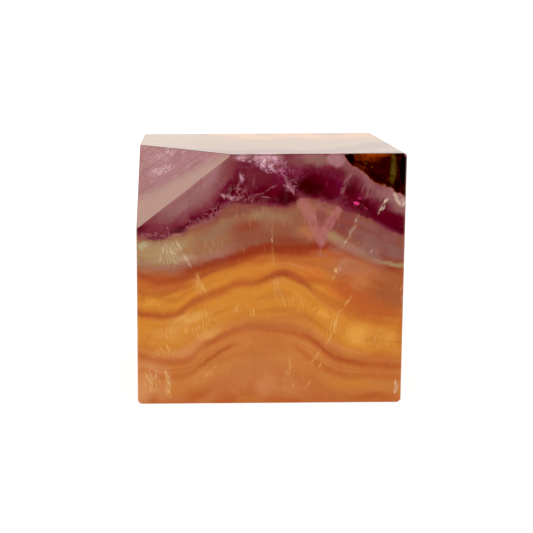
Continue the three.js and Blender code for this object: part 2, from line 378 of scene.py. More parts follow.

# Soft bodies of colour, and of painted glow, that follow the folds. Each has: across, up, half length, half
# height, turn in degrees, strength, and how much of it is solid before its edge fades, where that isn't a
# tenth
usualSolid = 0.1
stains = {
    "sage": [
        (5, 28.8, 11, 4.3, 6, 0.95, 0.2), (12.4, 31, 4.4, 1.8, 24, 0.4), (23.4, 36.4, 4, 1.2, 0, 0.3),
        (37, 31.7, 3.4, 1.5, -30, 0.7, 0.2),
    ],
    "mauveBrown": [
        (36.9, 34.6, 2.2, 2.4, 60, 1, 0.4), (47.2, 28, 4.4, 0.9, -12, 0.8, 0.2),
        (34.2, 35.8, 1.6, 3, 0, 0.9, 0.3), (45, 32, 8.5, 3.4, -26, 0.95, 0.3),
        (38.8, 34.6, 3.4, 2.4, 60, 1, 0.5), (19, 36.6, 6, 1.3, 14, 0.75, 0.2), (29.6, 36, 2, 1.6, 0, 0.4),
    ],
    "mint": [(1.2, 30.3, 1.6, 1, 0, 0.7, 0.2)],
    "fawn": [(4, 31.3, 4, 0.8, 0, 0.6), (21.2, 33.4, 4.4, 1.6, 12, 0.8), (19.4, 35.2, 2.6, 1.3, 16, 0.7)],
    "tan": [
        (13.5, 30.2, 6.5, 3, 24, 0.95, 0.3), (27, 36.4, 4, 1.5, 0, 0.4), (24.6, 33.8, 2.4, 1.6, 0, 0.3),
        (30, 33.4, 2.6, 1.8, 20, 0.6), (46, 25.2, 6, 1.2, -16, 0.7, 0.2), (43, 27.4, 3, 1.3, -24, 1, 0.3),
    ],
    "taupe": [(14.6, 33.2, 5.4, 2, 26, 0.8, 0.2), (25, 35.8, 7, 1.8, 0, 0.5)],
    "ash": [
        (43.4, 34, 5, 1.2, -25, 0.7), (46.8, 31.4, 3, 1.8, -20, 0.6), (43.6, 28.8, 4, 1.4, -28, 0.9, 0.3),
        (43.4, 31.2, 6, 2, -24, 0.8, 0.2), (47.4, 29.4, 5, 1.8, -16, 0.8, 0.2),
        (45.6, 25, 5, 1.6, -18, 0.4, 0),
    ],
    "blush": [
        (16.4, 29.4, 4.4, 1.3, 18, 0.5), (8.8, 26.4, 4.4, 1.4, 8, 0.5), (34.4, 31, 1.8, 1, 0, 0.5),
        (34.5, 28.8, 2.4, 1, -10, 0.5), (37.2, 29.2, 2.4, 1.3, -20, 0.7, 0.2), (15, 28.6, 5.4, 1.6, 16, 0.8),
        (7.5, 25.4, 5, 1.2, 4, 0.4), (39.6, 29.6, 4.4, 1.8, -26, 0.9, 0.4), (40, 27.2, 5, 1.4, -24, 0.5),
        (44.4, 26.8, 3.4, 1.2, -24, 0.7, 0.2), (5, 26, 6, 1, 4, 0.5), (48.4, 33, 2, 2.6, 0, 0.35),
        (1.4, 27, 3, 1.4, 0, 0.6),
    ],
    "brick": [
        (20.6, 33.8, 4, 1.5, 12, 0.6, 0), (28, 31.2, 5.4, 1.4, 0, 0.6), (28.6, 31.2, 3, 0.7, -4, 0.7),
        (26.5, 29.8, 8.5, 1.5, 4, 0.6), (34.3, 33.9, 0.35, 1, -6, 0.7),
    ],
    "russet": [
        (30, 28.6, 3.6, 1.1, -2, 0.7), (5.6, 24, 5, 1.2, 0, 0.4), (42.2, 20.1, 2.4, 1, -10, 0.9, 0.2),
        (47, 21.6, 6, 2.4, -10, 0.8, 0.3), (49.8, 18, 1.4, 12, 0, 0.4),
    ],
    "sienna": [
        (32, 32.6, 3, 1.6, -20, 0.8, 0.2), (5, 25, 5, 1, 4, 0.6), (1.4, 25.2, 4, 1.1, 0, 0.8),
        (37, 25.6, 5, 3, -24, 0.6), (41.5, 25.2, 7, 2.6, -22, 1, 0.5),
    ],
    "crust": [(41.4, 31.8, 1.6, 1.1, -20, 0.5, 0), (46.6, 29.2, 1.8, 0.9, -24, 0.5, 0)],
    "rust": [
        (5, 22.8, 8, 2.2, 4, 0.9, 0.2), (0.6, 20.4, 2.4, 2, 0, 0.4), (26.4, 27.5, 10, 1.4, 3, 0.8),
        (31, 27.2, 4, 1.4, -8, 0.7), (43.5, 21, 10, 4.4, -18, 1, 0.5), (44, 18.4, 9, 2.8, -14, 0.95, 0.4),
        (45, 1.2, 8, 1.4, 0, 0.7), (46, 8.8, 8, 1.4, -3, 0.5), (11.6, 1.4, 5, 2.4, 0, 0.6),
        (25, 13, 6, 1.6, 0, 0.4, 0),
    ],
    # the glow lenses are painted light: brighter patches where light seems to shine out through the amber
    "glow": [
        (3, 19.4, 5, 0.9, 0, 0.5), (34.8, 17.4, 2.6, 1.3, -42, 0.9), (41.2, 13.2, 3.2, 3, 0, 0.9),
        (47.6, 12.4, 2.4, 2, 0, 0.5, 0), (29.5, 21.4, 2.6, 1.4, -30, 0.3, 0),
        (25.2, 27.2, 1.6, 1.6, 0, 0.3, 0),
    ],
    "clay": [
        (30, 26.4, 9, 2, 3, 0.6), (33, 4.4, 4, 2.6, 75, 0.4, 0), (37.4, 10.6, 2.6, 1.6, -30, 0.6),
        (37, 6.8, 3, 1.3, 0, 0.6), (48.4, 7, 4, 1.4, 0, 0.6),
    ],
    "gold": [(23, 25.4, 5, 2.4, 6, 0.5, 0), (27, 21, 7, 2, 4, 0.5, 0), (14, 13.6, 5, 1.4, 26, 0.6, 0)],
    "orange": [(25, 25.4, 8, 1.2, 8, 0.4), (33, 25, 4, 2, -10, 0.8, 0.2), (36.6, 21.4, 3, 1.4, -30, 0.7)],
    "straw": [
        (11.4, 23.4, 1.1, 3.2, 16, 0.2), (9.4, 16.6, 6, 1.8, 12, 0.5, 0), (13, 13.2, 4, 1.4, 26, 0.35, 0),
    ],
    "peach": [
        (24, 3.4, 5, 3.4, 70, 0.6), (20.6, 7.6, 4, 2.4, 40, 0.3, 0), (2.4, 6.6, 5, 3.6, 0, 0.8),
        (0.6, 2.6, 3, 5, 0, 0.9, 0.2), (21, 6, 10, 4.4, 14, 0.35, 0), (4.8, 2.6, 2.4, 3, 0, 0.5),
        (27, 2.4, 8, 3, 0, 0.4, 0), (5, 13.6, 5, 2, 10, 0.3, 0), (9, 10, 7, 2, 20, 0.5, 0),
        (41.6, 23.4, 4.4, 2.2, -20, 0.5),
    ],
    "amber": [(21, 0.8, 4, 1.6, 0, 0.7)],
    "honey": [(41, 3.6, 5, 0.8, -4, 0.7)],
    "umber": [
        (47.4, 21.4, 7, 4.2, -10, 0.85, 0.2), (47.6, 24.2, 4, 2, -16, 0.8, 0.2),
        (15, 26.9, 3.4, 1.2, 18, 0.6), (9, 25.1, 3.4, 1, 10, 0.6), (49.4, 24.4, 2.4, 2, 0, 0.9, 0.3),
    ],
    "bone": [(9.2, 27.6, 3.4, 1.2, 12, 0.2, 0)],
}

# Clusters of fine bright streaks, given in the same way
streakClusters = {
    "bone": [
        (6, 28.8, 3, 3.4, 0, 0.45, 0.2), (49, 2.8, 0.6, 2, 0, 0.6, 0.2), (49.6, 20, 0.5, 3.6, 0, 0.6),
        (38, 26, 1.3, 2.6, -14, 0.35), (43.2, 29.7, 2.4, 1, -28, 0.2),
    ],
    "straw": [
        (11.6, 22.8, 1.5, 3.2, 16, 0.5, 0.2), (12.5, 15.4, 6, 3, 15, 0.45), (7, 14, 5, 3, 15, 0.5),
        (5, 10, 3, 1.6, 15, 0.7), (19, 17.9, 0.9, 1.4, 0, 0.9, 0.2), (21.6, 17.6, 0.9, 1.2, 0, 0.7, 0.2),
        (36.8, 15, 1.6, 3.4, -25, 0.7), (44, 12.4, 7, 2.4, 0, 0.35), (30, 19, 4, 3, -30, 0.35),
        (13, 6, 6, 2, 20, 0.4), (28.8, 6, 1.6, 5, 0, 0.35),
    ],
    "cream": [(2.6, 4.6, 2, 3.6, 0, 0.65, 0.2), (5.7, 4, 0.8, 4, 4, 0.7, 0.2)],
    "peach": [(19, 2, 3, 3, 0, 0.6)],
    "mint": [(26.3, 21.6, 1.1, 3.2, 6, 0.4), (13, 30, 6, 2.6, 20, 0.3), (22, 36, 7, 2, 4, 0.3)],
    "rose": [(43.4, 29.6, 3, 1.6, -28, 0.3)],
}

# Bodies in the purple zone
purpleBodies = {
    "plum": [
        (4, 33.4, 6, 1.6, 12, 0.8, 0.3), (8.4, 35.6, 3, 1, 36, 0.6), (23, 43, 8, 2.4, 0, 0.35),
        (45, 41.4, 3.4, 1.5, -28, 0.6, 0.2), (41, 43.6, 2.4, 0.8, -30, 0.4, 0.2),
        (3.4, 35.4, 2.4, 0.7, 36, 0.6),
    ],
    "blood": [
        (7.6, 33.4, 1.7, 0.8, 4, 0.7, 0.2), (0.8, 33.3, 2, 1, 20, 0.6), (17.4, 40.6, 1.9, 1.1, 60, 0.7, 0.2),
        (24, 40, 4, 1.8, 0, 0.8, 0.3), (20, 39, 5, 1.1, 0, 0.9, 0.4), (26.6, 38.6, 5, 1.3, 0, 0.9, 0.5),
        (34, 40, 4, 1.5, 0, 0.8, 0.4), (32, 42, 4.6, 2.2, -8, 0.7, 0.3), (21.6, 46.6, 1, 0.9, 0, 0.6, 0.2),
        (40, 40.8, 3.6, 3, -20, 0.9, 0.4), (37, 43.8, 2.8, 1.8, -10, 0.7, 0.2), (30, 45.4, 2, 1.4, -20, 0.3),
        (43.6, 36.9, 7, 2, -25, 0.95, 0.4), (48.6, 34.6, 4.4, 2, -18, 1, 0.5),
    ],
    "purple": [
        (33, 44.6, 3.4, 1.2, -8, 0.6), (26, 42.6, 3.2, 1.8, 30, 0.9, 0.3),
        (42.4, 40.6, 3, 1.2, -26, 0.6, 0.2), (45.2, 37.8, 3.2, 2, -24, 0.9, 0.3),
        (40.4, 42.4, 2, 1.6, -20, 0.7, 0.2),
    ],
    "violet": [
        (36.8, 41, 1.8, 2, 0, 0.5, 0.2), (41.8, 39.4, 1, 0.6, -20, 0.6), (27, 43.8, 2.2, 3, 30, 0.5, 0.2),
        (29.8, 44.4, 2.6, 2, -10, 0.35), (37.4, 41.6, 1.6, 3, 0, 0.5),
    ],
    "heather": [
        (30, 45.8, 3.4, 1.6, -10, 0.7, 0.2), (25, 45.6, 5, 1.6, 0, 0.7, 0.2), (40.6, 44, 2.6, 0.7, -30, 0.5),
        (16, 42.4, 3.4, 1, 44, 0.6, 0.2),
    ],
    "ash": [
        (33, 46.4, 3.2, 1.4, -4, 0.95, 0.4), (47.4, 39.6, 3.4, 1.8, -24, 0.4, 0.2), (49, 37, 2, 1, -20, 0.6),
        (8.2, 37.6, 6, 1.8, 38, 0.6, 0.2),
    ],
    "rose": [
        (24, 47.2, 4.4, 1.8, 0, 0.8, 0.2), (19.2, 47, 2.6, 1.4, 0, 0.7, 0.2),
        (36.2, 46.6, 1.8, 1.3, 0, 0.6, 0.2),
    ],
    "mauve": [
        (31.4, 47.2, 3.4, 1.2, 0, 0.7, 0.2), (12.4, 39, 5.4, 1.2, 38, 0.2),
        (36.7, 46.5, 2.2, 1.8, 0, 1, 0.6),
    ],
    "crust": [(9, 39.6, 7, 0.8, 38, 0.4)],
}

# The darkest bodies, which nothing pale crosses
wineBodies = {
    "wine": [
        (7.8, 33.2, 2.2, 0.8, 4, 0.5), (27.6, 39.3, 3, 2.3, -10, 0.75, 0.3), (26, 38.8, 2, 1.4, 0, 0.5),
        (28.4, 42.2, 2.6, 1.5, -35, 0.3), (23.6, 40, 2.4, 1.2, 6, 0.5),
        (31.6, 41.3, 3.2, 2.3, -16, 0.9, 0.3), (33.2, 42.8, 3, 1.5, -16, 0.6),
        (33.4, 41, 3.6, 2.2, 0, 0.85, 0.2), (35.2, 40.2, 3, 1.6, -14, 0.6), (36.4, 41.8, 1.4, 2.2, 0, 0.4),
        (17.6, 40.8, 1.8, 1, 50, 0.4), (42.4, 37.7, 3.4, 1.2, -24, 0.4), (39.6, 41, 2, 1.8, -10, 0.55),
        (47.6, 34, 3, 0.9, -20, 0.3),
    ],
    "blood": [
        (25.4, 40.6, 2, 1.2, 30, 0.7), (23.8, 40.3, 3, 1.5, 6, 0.9, 0.3),
        (36.2, 41.4, 2.2, 2.4, 0, 0.9, 0.3), (38, 43.2, 2, 1.6, 0, 0.4), (34.4, 43, 2.4, 1.6, -10, 0.7, 0.2),
        (47.8, 35, 4, 1.7, -20, 0.8, 0.3),
    ],
}

# Tangles of thin threads, given in the same way
tangles = {
    "dusty": [
        (13, 35.6, 4.4, 1.4, 36, 0.6, 0.3), (18.5, 40.1, 2.6, 2, 0, 0.8, 0.3), (21, 39, 2.6, 0.9, 0, 0.5),
        (28.6, 41.8, 1.5, 2, 30, 0.6, 0.2), (3.6, 32, 6, 0.7, 0, 0.6, 0.3), (34, 37.8, 3.4, 1.4, 0, 0.5),
    ],
}

# Clusters of sparkling grains, given in the same way
sparkles = {
    "lilac": [
        (23.8, 46, 3.2, 2.3, -30, 1, 0.6), (22.8, 47.2, 4, 0.8, 0, 0.7, 0.3),
        (19.6, 46.8, 2.4, 1.4, -20, 1, 0.4), (27.4, 43.6, 1.2, 2.4, 26, 0.5),
        (28.8, 41.4, 1.2, 1.6, 28, 0.7, 0.2), (27, 43.1, 0.5, 0.7, 0, 0.6, 0.2),
        (26.8, 45.2, 1.6, 2, 26, 0.6, 0.2), (19.2, 42.8, 0.8, 1.2, -14, 0.6, 0.3),
        (17, 39.4, 2.2, 0.8, -14, 0.5, 0.3),
    ],
    "orchid": [
        (26.6, 44.2, 1.4, 3.4, 26, 0.9, 0.3), (29, 41.4, 1.6, 2, 28, 0.8, 0.2), (29.6, 44, 3, 2, -10, 0.35),
        (36.6, 42.4, 1.6, 3, 0, 0.5),
    ],
    "mauve": [
        (21, 44.6, 3, 1.2, 10, 0.2), (9.8, 34, 0.8, 1.4, 0, 0.7, 0.2), (9, 38, 6, 2.4, 36, 0.4),
        (28, 44, 4, 2, 0, 0.2),
    ],
    "rose": [(36.6, 46.3, 2.6, 1.5, 0, 0.4, 0.2)],
    "bone": [
        (49.2, 38.9, 1.5, 0.9, -20, 0.4), (45.4, 37.6, 1.1, 1.4, -20, 0.3), (1.4, 30.2, 1.2, 0.9, 0, 0.4),
    ],
}

# Leaning strokes of paler stone under the dark corner of iron stain and painted reflection, given in the same
# way
feathers = {
    "mauve": [
        (38.8, 42.4, 1.6, 2.4, 0, 0.2), (44.4, 40.6, 4.4, 1.5, -26, 0.3), (41.2, 43.4, 2, 1.2, -30, 0.15),
    ],
    "ash": [(44.6, 40, 5, 1.8, -26, 0.5, 0.2)],
    "dusty": [(46.2, 40.2, 4, 1.2, -26, 0.25)],
    "bone": [(48.8, 38.6, 1.7, 0.9, -26, 0.4, 0.2), (46.4, 38.6, 1, 1, 0, 0.15)],
}

# Flecks and soft areas in the facet, given in the same way
facetFlecks = {
    "facetPale": [
        (6.2, 46.6, 1.9, 1.1, 20, 1, 0.6), (8.6, 46.8, 1.1, 0.5, 30, 0.8, 0.3),
        (4.3, 43.1, 3.6, 0.9, 24, 1, 0.6), (1.2, 46.6, 2.4, 1.2, 0, 0.7, 0.2),
        (0.6, 43.8, 0.8, 0.6, 0, 0.7, 0.2), (3.2, 45.6, 5.2, 2.2, 6, 0.6, 0.4),
    ],
    "facetMauve": [(0.8, 41.6, 2.8, 4.6, 0, 0.95, 0.3)],
    "facetPink": [(6, 42.6, 5, 0.9, 38, 0.8, 0.2)],
}

# Small spots that stand out, given in the same way
brightSpots = {
    "magenta": [
        (40.7, 38.2, 0.75, 0.38, -14, 1, 0.5), (41.3, 39.1, 0.5, 0.3, -20, 0.5),
        (42.5, 37.2, 0.6, 0.25, -30, 0.5), (35.2, 41.8, 0.3, 0.6, 0, 0.15),
    ],
    "violet": [(26, 36.7, 0.5, 0.16, 50, 0.8)],
    "lilac": [
        (19.3, 42.9, 0.3, 0.4, 0, 0.7, 0.3), (23.2, 45.2, 0.9, 0.35, -30, 0.8, 0.2),
        (25.4, 46.4, 0.8, 0.4, -20, 0.8, 0.2), (24.8, 45.2, 0.9, 0.35, 20, 0.7),
    ],
    "bone": [(23.6, 46, 0.7, 0.3, 20, 0.7)],
}

# Healed cracks and veins by colour: how far back they reach, and the path, width and strength of each
cracks = {
    "russet": (5, [
        ([(34, 18.6), (32.9, 16.8), (31.6, 15.3)], 0.16, 0.7), ([(35.6, 22.2), (34.7, 20.7)], 0.12, 0.5),
        ([(33.4, 19.4), (32.2, 17.7), (30.8, 16.4)], 0.1, 0.5),
        ([(27.4, 21.8), (28.1, 18.6), (28.5, 17.6)], 0.08, 0.4), ([(30.8, 21.4), (30, 19.8)], 0.08, 0.4),
    ]),
    "bone": (6, [
        ([(41.3, 36.3), (40.4, 34.4)], 0.24, 0.3), ([(40.4, 34.2), (39.4, 32), (38.2, 29.9)], 0.24, 0.35),
        ([(40.9, 34.6), (40, 32.6), (39.2, 31)], 0.16, 0.25),
        ([(7.3, 31.4), (8.5, 29), (10.2, 26)], 0.3, 0.4),
        ([(5.2, 30.4), (4.6, 28.4), (4.2, 26.6)], 0.2, 0.3),
        ([(6.2, 30.2), (6.6, 28.2), (7.6, 26.4)], 0.2, 0.35), ([(25.1, 31.9), (25.1, 30.9)], 0.16, 0.8),
        ([(48.8, 4.5), (48.9, 3), (48.7, 1.6)], 0.2, 0.7),
        ([(44.8, 36.2), (45.6, 37.8), (46.6, 39.2)], 0.24, 0.8), ([(45.6, 36.8), (46.2, 38)], 0.16, 0.6),
        ([(50, 38.6), (49, 37.4), (48.2, 39.2), (47.6, 40.4)], 0.34, 0.8),
    ]),
    "straw": (6, [
        ([(37.4, 26.4), (36.9, 25), (36.4, 23.4)], 0.24, 0.4), ([(37.2, 26), (36.9, 25)], 0.4, 1.0),
        ([(40.4, 20.9), (38.6, 18.5), (37.4, 17)], 0.2, 0.6), ([(37.5, 17.3), (36.9, 14.2)], 0.24, 0.6),
        ([(37, 14.2), (35.2, 11), (33, 8.2)], 0.24, 0.35), ([(34.2, 9.4), (32.4, 7.6)], 0.28, 0.5),
        ([(34.7, 7.8), (34.1, 6.9)], 0.26, 0.5), ([(33, 4.6), (31.4, 2.6)], 0.16, 0.4),
        ([(11, 25.4), (11.8, 23.4), (13.4, 20.4)], 0.24, 0.35),
        ([(28.4, 9.8), (29, 5), (29.5, 2.5)], 0.18, 0.4),
        ([(25.2, 34), (25.1, 31), (25.5, 26), (25.8, 20)], 0.24, 0.2),
        ([(25.9, 24.6), (26.8, 21.4), (28.2, 17.8)], 0.34, 0.2),
        ([(5.2, 6.8), (5.6, 4), (6.2, 0.9)], 0.34, 0.6), ([(1.4, 6.6), (2.2, 4.4), (2.8, 2.2)], 0.24, 0.5),
    ]),
    "coral": (4, [
        ([(6.1, 31.9), (5.9, 33.2), (5.5, 33.9)], 0.16, 0.4), ([(6.4, 32.3), (8.4, 32.4)], 0.22, 0.6),
        ([(15.6, 40), (16.6, 39.1), (18.4, 39.3)], 0.3, 1.0), ([(18.4, 39.3), (18.9, 38.6)], 0.2, 0.6),
        ([(18.4, 40.7), (19.1, 42.3), (19.3, 43.3)], 0.26, 0.4), ([(18.2, 41.2), (19.6, 40.6)], 0.24, 0.4),
        ([(21.6, 42.5), (21.5, 41.1)], 0.14, 0.3), ([(21.3, 39.4), (23.8, 40.2), (26.2, 41.9)], 0.2, 0.25),
        ([(22.7, 39.5), (24.8, 39.2)], 0.2, 0.35), ([(26.2, 44.8), (27.2, 43.1), (28.1, 41.8)], 0.24, 0.3),
        ([(27, 41.6), (28.4, 41.1), (29.2, 39.7)], 0.26, 0.7), ([(34.1, 29.8), (34.3, 28.3)], 0.2, 0.3),
        ([(38, 39.6), (38.7, 42), (39.9, 44)], 0.24, 0.3),
        ([(37.6, 39.4), (38.1, 41.4), (38.9, 43.4)], 0.2, 0.25), ([(42.4, 39), (43.2, 41.4)], 0.2, 0.3),
        ([(14.4, 43), (15.6, 41.2)], 0.14, 0.35),
    ]),
}

# The dark corner, iron stain seen through clear stone under a painted dark reflection: its lower edge on the
# front, how much this climbs towards the back, and what shows in it
stainedReflectionEdge = [(0, 47.6), (38, 47.6), (38.5, 46.6), (39.6, 45.3), (41, 44.5), (42, 43.9), (43, 42.9),
                 (44.5, 41.7), (46, 41.3), (47, 41), (48, 40.3), (50, 39.3)]
stainedReflectionClimb = 0.8
stainedReflectionBodies = {
    "ember": [
        (42.4, 46.8, 3.8, 1.2, -4, 0.6), (43.8, 47.4, 4.4, 1, 0, 1, 0.3), (41.4, 45, 1.8, 0.4, -25, 0.3, 0),
        (50, 42, 0.5, 2.6, 0, 0.6),
    ],
    "pitch": [
        (39.3, 46.6, 1, 1.2, 10, 1, 0.7), (43.8, 43.6, 0.7, 0.6, 0, 0.8), (44.8, 43, 1.6, 0.7, -30, 0.6),
        (48.6, 45.4, 0.5, 1.6, 0, 0.8, 0.3), (49.3, 44.6, 1, 4, 0, 1, 0.5),
        (48.2, 41.6, 0.8, 1.2, 0, 0.9, 0.3),
    ],
    "olive": [
        (42.4, 45.6, 0.35, 0.35, 0, 0.6), (43.4, 45, 0.25, 0.25, 0, 0.6), (47.4, 44.2, 0.8, 3.4, -3, 0.9),
        (47.5, 46.6, 0.7, 1.6, 6, 0.8),
    ],
    # the violet spot at the very corner is a painted highlight
    "violet": [(49.7, 47.2, 0.5, 0.5, 0, 0.9, 0.4)],
}

# Each noise: its scale over a place in millimetres, its detail and its roughness
noises = {
    "slow": (0.05, 2, 0.5), "wander": (0.3, 2, 0.5), "fine": (0.8, 4, 0.65), "laminae": (1.0, 2, 0.5),
    "streaks": (1.0, 4, 0.65), "flecks": (1.0, 3, 0.65), "speckles": (1.3, 4, 0.75),
    "mottles": (0.35, 5, 0.7), "knots": (0.75, 3, 0.6), "strokes": (1.6, 4, 0.65),
    "facetStreaks": (0.55, 5, 0.62), "facetMottles": (0.5, 5, 0.75), "facetGrains": (2.2, 3, 0.7),
}

# Where a value starts to count and where it counts in full, and its strengths there if they aren't 0 and 1
steps = {
    "belowTan": (4.0, 3.7), "calmAbove": (4.2, 3.8, 0.4, 1.0), "darkLaminae": (0.5, 0.72, 0.0, 0.3),
    "lightLaminae": (0.46, 0.28, 0.0, 0.3), "darkMottles": (0.46, 0.3, 0.0, 0.3),
    "darkStreaks": (0.45, 0.25, 0.0, 0.4), "lightStreaks": (0.56, 0.8, 0.0, 0.35),
    "lightFlecks": (0.58, 0.8, 0.0, 0.25), "clusterStreaks": (0.46, 0.66), "veilSides": (-0.3, 0.6),
    "veilDepth": (9.0, 4.0), "veilStreaks": (0.36, 0.62, 0.3, 0.95), "purpleMottles": (0.5, 0.75, 0.0, 0.25),
    "purpleStreaks": (0.42, 0.22, 0.0, 0.5), "purpleFoot": (-0.3, 0.25), "crustFoot": (-0.4, 0.2),
    "crustTop": (1.4, 0.3), "crustSpeckles": (0.38, 0.7, 0.1, 0.65), "threads": (0.06, 0.0),
    "sparkles": (0.44, 0.64), "strokes": (0.42, 0.62), "brokenCracks": (0.36, 0.58, 0.15, 1.1),
    "emberSpeckles": (0.5, 0.85, 0.0, 0.4), "pitchSpeckles": (0.5, 0.36, 0.0, 0.7),
    # the foot and side steps below bound the dark corner of iron stain and painted reflection
    "emberRim": (0.4, 0.05, 0.0, 0.6), "stainedReflectionFoot": (-0.1, 0.15), "stainedReflectionSide": (0.76, 0.766),
    "facetPale": (12.0, 7.0), "facetPink": (0.3, 0.56), "facetMottles": (0.5, 0.68, 0.0, 0.22),
    "facetStreaks": (0.5, 0.75, 0.0, 0.25), "facetGrains": (0.42, 0.6), "grainAreas": (0.34, 0.52),
}

# How far each kind of body reaches back from the front
reaches = {
    "stains": 16, "streakClusters": 10, "purpleBodies": 8, "tangles": 5, "sparkles": 5, "feathers": 6,
    "wineBodies": 4, "brightSpots": 3, "stainedReflectionBodies": 6, "facetFlecks": 30,
}

# How the pattern runs through the stone
flow = {
    "fraying": 0.8,  # how far the fine noise moves every edge
    "driftAcross": 40.0,  # how much the folds sway at the back
    "driftUp": 34.0,
    "bodyWander": 2.0,
    "lowestFoot": -24.0,  # the lowest band would begin far below the block
    "thickest": 20.0,  # the purple zone is nowhere higher than this
    "sheets": (0.06, 0.06, 6.0),  # the laminae are thin across the bands
    "fanMiddle": 27.0,  # the streaks fan out from a point below the block
    "fanDepth": 60.0,
    "fan": (130.0, 0.5, 0.25),
    "fleckScale": 2.4,
    "strokeLean": -0.45,
    "strokeBack": 0.5,
    "strokeUp": 0.2,
}

# A crack's lens is longer and wider than the crack, because it fades towards its rim
crackLens = {
    "reach": 0.64,
    "width": 1.3,
}

# The pink veil is a wide V less a narrower one, each with its foot and the slopes of its two sides
veil = {
    "middle": 34.2,
    "outer": (29.3, 0.52, 0.53),
    "inner": (33.6, 0.53, 0.74),
    "innerShare": 0.85,
}

# The painted light from within on the facet: how its streaks run, how its pale band narrows, and how strongly
# it covers the stone
facetPaintedLight = {
    "streakAlong": 0.1,
    "streakLean": 0.09,
    "paleLean": 0.36,  # the painted pale light narrows as it runs up the facet's lower edge
    "strength": 0.92,
}


def step(bench, value, name):
    return bench.between(value, *steps[name])


def faceShare(bench, name):
    return bench.add("ShaderNodeAttribute", attribute_name=name).outputs["Fac"]


def stoneCurve(bench, share, points):
    # a line across or back through the block, whose heights are in millimetres too
    return bench.curve(share, points, block["size"], block["size"])


def lensShare(bench, place, body, backReach):
    # share of one lens-shaped body in the stone, with its long axis turned in the plane of the front
    across, up, longReach, wideReach, turn, strength = body[:6]
    solid = body[6] if len(body) > 6 else usualSolid
    values = {
        "Vector": place,
        "Location": (across, 0, up),
        "Rotation": (0, -math.radians(turn), 0),
        "Scale": (longReach, backReach, wideReach),
    }
    local = bench.add("ShaderNodeMapping", values, vector_type="TEXTURE").outputs["Vector"]
    nearness = bench.add("ShaderNodeTexGradient", {"Vector": local}, gradient_type="SPHERICAL").outputs["Fac"]
    return bench.between(nearness, 0.0, 1.0 - solid, 0.0, strength)


def addLenses(bench, colour, place, lenses, name, backReach, grain=None):
    # lenses of one colour; grain, where given, breaks them up
    total = lensShare(bench, place, lenses[0], backReach)
    for body in lenses[1:]:
        total = bench.maths("MAXIMUM", total, lensShare(bench, place, body, backReach))
    if grain:
        total = bench.product(total, grain)
    return bench.blend(total, colour, palette[name])


def addBodies(bench, colour, place, bodies, backReach, grain=None):
    for name, lenses in bodies.items():
        colour = addLenses(bench, colour, place, lenses, name, backReach, grain)
    return colour


def addCracks(bench, colour, place, paths, name, backReach, grain):
    # one lens for each straight piece of a crack's path
    lenses = []
    for path, width, strength in paths:
        for start, end in zip(path, path[1:]):
            run = Vector(end) - Vector(start)
            middle = (Vector(end) + Vector(start)) / 2
            turn = math.degrees(math.atan2(run.y, run.x))
            size = (run.length * crackLens["reach"], width * crackLens["width"])
            lenses.append((middle.x, middle.y, *size, turn, strength))
    return addLenses(bench, colour, place, lenses, name, backReach, grain)


def layOut(bench):
    # where we are in the stone: "own" is straight, the others are frayed by fine noise
    own = bench.add("ShaderNodeTexCoord").outputs["Object"]
    half = block["size"] / 2
    own = bench.add("ShaderNodeMapping", {
        "Vector": own,
        "Location": (half, half, 0),
        "Scale": (1 / mm, 1 / mm, 1 / mm),
    }).outputs["Vector"]
    slow = bench.evenNoise(own, *noises["slow"])
    wander = bench.evenNoise(own, *noises["wander"])
    fine = bench.evenNoise(own, *noises["fine"])
    frayed = bench.vector("ADD", own, bench.scaled(fine, flow["fraying"]))
    parts = bench.add("ShaderNodeSeparateXYZ", {0: frayed}).outputs
    back = parts[1]
    backShare = bench.maths("DIVIDE", back, block["size"])

    # the folds wander and the bands rise towards the back
    drift = bench.add("ShaderNodeSeparateXYZ", {0: slow}).outputs
    drifted = bench.product(drift[0], backShare)
    across = bench.maths("MULTIPLY_ADD", drifted, flow["driftAcross"], parts[0])
    rise = stoneCurve(bench, backShare, bandRise)
    risen = bench.product(drift[2], backShare)
    rise = bench.maths("MULTIPLY_ADD", risen, flow["driftUp"], rise)
    up = bench.maths("SUBTRACT", parts[2], rise)
    folded = bench.combined(across, back, up)
    acrossShare = bench.maths("DIVIDE", across, block["size"])

    levels = {}
    for name, points in growthLines.items():
        levels[name] = stoneCurve(bench, acrossShare, points)
    names = list(growthLines)
    bandPlace = bench.between(up, flow["lowestFoot"], levels[names[0]], smooth=False)
    for lower, upper in zip(names, names[1:]):
        share = bench.between(up, levels[lower], levels[upper], smooth=False)
        bandPlace = bench.maths("ADD", bandPlace, share)
    return {
        "own": own,
        "frayed": frayed,
        "across": across,
        "acrossShare": acrossShare,
        "back": back,
        "up": up,
        "folded": folded,
        "bodies": bench.vector("ADD", folded, bench.scaled(wander, flow["bodyWander"])),
        "levels": levels,
        "band": bandPlace,
    }


def makeGrains(bench, at):
    # thin laminae run with the bands, and fine streaks fan out upwards
    sheets = bench.stretched((at["across"], at["back"], at["band"]), flow["sheets"])
    aside = bench.maths("SUBTRACT", at["across"], flow["fanMiddle"])
    fan = bench.maths("DIVIDE", aside, bench.maths("ADD", at["up"], flow["fanDepth"]))
    fanned = bench.stretched((fan, at["back"], at["up"]), flow["fan"])
    return {
        "laminae": bench.noise(sheets, *noises["laminae"]),
        "streaks": bench.noise(fanned, *noises["streaks"]),
        "flecks": bench.noise(bench.scaled(fanned, flow["fleckScale"]), *noises["flecks"]),
        "speckles": bench.noise(at["frayed"], *noises["speckles"]),
        "mottles": bench.noise(at["own"], *noises["mottles"]),
    }


def addSeams(bench, colour, at):
    for line, strength, below, above, name in seams:
        if isinstance(line, str):
            height = at["levels"][line]
        else:
            height = stoneCurve(bench, at["acrossShare"], line)
        aside = bench.maths("SUBTRACT", at["up"], height)
        share = bench.product(bench.between(aside, -below, 0.0), bench.between(aside, above, 0.0))
        share = bench.product(share, bench.curve(at["acrossShare"], strength, block["size"], 1))
        colour = bench.blend(share, colour, palette[name])
    return colour


